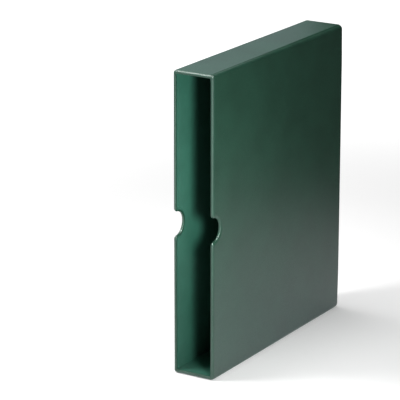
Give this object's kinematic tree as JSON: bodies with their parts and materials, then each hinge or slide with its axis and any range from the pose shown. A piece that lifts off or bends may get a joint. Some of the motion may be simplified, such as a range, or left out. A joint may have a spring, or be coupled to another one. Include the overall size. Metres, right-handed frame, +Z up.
{
  "type": "slipcase",
  "caption": "Board slipcase for an album binder, covered in leatherette, open at one long narrow side, with a round thumb notch in each large side.",
  "frame": {"origin": "middle of the bottom face that the case stands on", "axes": "+Z up, +Y from the mouth towards the spine, +X across the case towards its right side, seen from the mouth"},
  "size_m": [0.048, 0.27, 0.325],
  "materials": {
    "cover_leatherette": "fine-grained satin leatherette",
    "greyboard": "matt",
    "gummed_paper": "matt",
    "lining_paper": "matt, smooth"
  },
  "bodies": {
    "root": {"cover_wrap": "cover_leatherette", "head_cover": "cover_leatherette", "tail_cover": "cover_leatherette", "notch_edging_right": "cover_leatherette", "notch_edging_left": "cover_leatherette", "side_board_right": "greyboard", "side_board_left": "greyboard", "spine_board": "greyboard", "head_board": "greyboard", "tail_board": "greyboard", "joint_tape_head_right": "gummed_paper", "joint_tape_head_left": "gummed_paper", "joint_tape_tail_right": "gummed_paper", "joint_tape_tail_left": "gummed_paper", "joint_tape_spine_right": "gummed_paper", "joint_tape_spine_left": "gummed_paper", "joint_tape_spine_head": "gummed_paper", "joint_tape_spine_tail": "gummed_paper", "side_lining_right": "lining_paper", "side_lining_left": "lining_paper", "head_lining": "lining_paper", "tail_lining": "lining_paper", "spine_lining": "lining_paper"}
  },
  "joints": []
}
